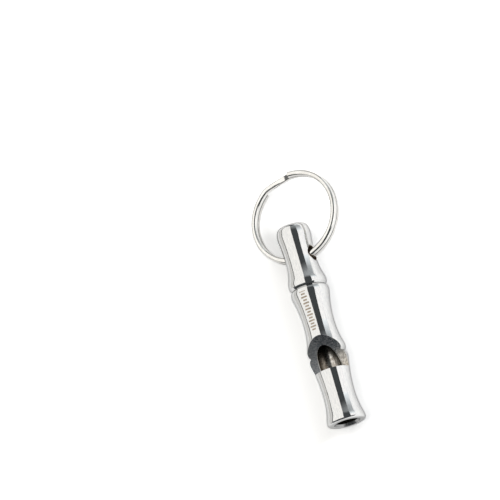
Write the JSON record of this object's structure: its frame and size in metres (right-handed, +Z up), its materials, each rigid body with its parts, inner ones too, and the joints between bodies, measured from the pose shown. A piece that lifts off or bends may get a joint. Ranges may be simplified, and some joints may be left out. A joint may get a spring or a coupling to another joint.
{
  "type": "training whistle",
  "caption": "Turned metal training whistle shaped like a bamboo stem, with a ramped sound window near the mouthpiece and a split key ring through a cross-hole at the closed end.",
  "frame": {"origin": "centre of the mouthpiece's end face, on the whistle's axis", "axes": "+X out of the mouthpiece along the whistle's axis, +Z up from the surface the whistle lies on, +Y across, along the hole for the ring"},
  "size_m": [0.0783, 0.0286, 0.0116],
  "materials": {
    "polished_steel": "mirror-polished turned steel",
    "plug_steel": "turned and milled steel, not polished",
    "ring_steel": "bright nickel-plated spring steel"
  },
  "bodies": {
    "whistle": {"whistle_body": "polished_steel", "fipple_plug": "plug_steel"},
    "ring": {"split_ring": "ring_steel"}
  },
  "joints": [
    {"name": "ring_swing", "type": "hinge", "parent": "whistle", "child": "ring", "pos_m": [-0.05145, 0, 0], "axis": [0, 1, 0], "range_deg": [-154, 173]}
  ]
}
